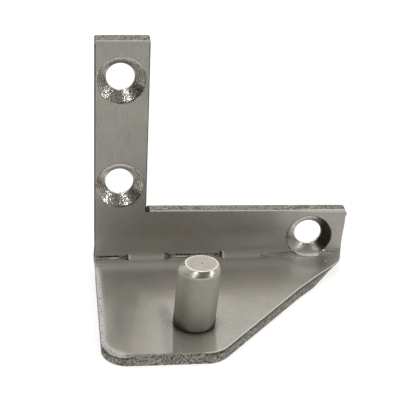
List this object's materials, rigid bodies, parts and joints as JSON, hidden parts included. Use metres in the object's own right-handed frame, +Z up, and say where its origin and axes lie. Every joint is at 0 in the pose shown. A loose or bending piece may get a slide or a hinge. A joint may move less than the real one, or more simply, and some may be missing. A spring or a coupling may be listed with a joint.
{
  "type": "fridge door hinge bracket with fixed pin",
  "caption": "Folded steel corner bracket: an upright with countersunk screw holes, and a level shelf that carries a fixed upright hinge pin.",
  "frame": {"origin": "on the pin's axis, at the level of the shelf's upper face, where the pin leaves the shelf", "axes": "+Z up along the pin, towards its free end. +Y from the pin towards the cabinet that the upright is screwed to. +X along the shelf, from the tall strip to the end of the low leg"},
  "size_m": [0.0617, 0.0454, 0.0588],
  "materials": {
    "satin_stainless_sheet": "satin stainless sheet, lightly brushed, with ragged grey cut edges",
    "turned_stainless_pin": "turned stainless, faced end with a pale sheen"
  },
  "bodies": {
    "root": {"bracket_plate": "satin_stainless_sheet", "hinge_pin": "turned_stainless_pin"}
  },
  "joints": []
}
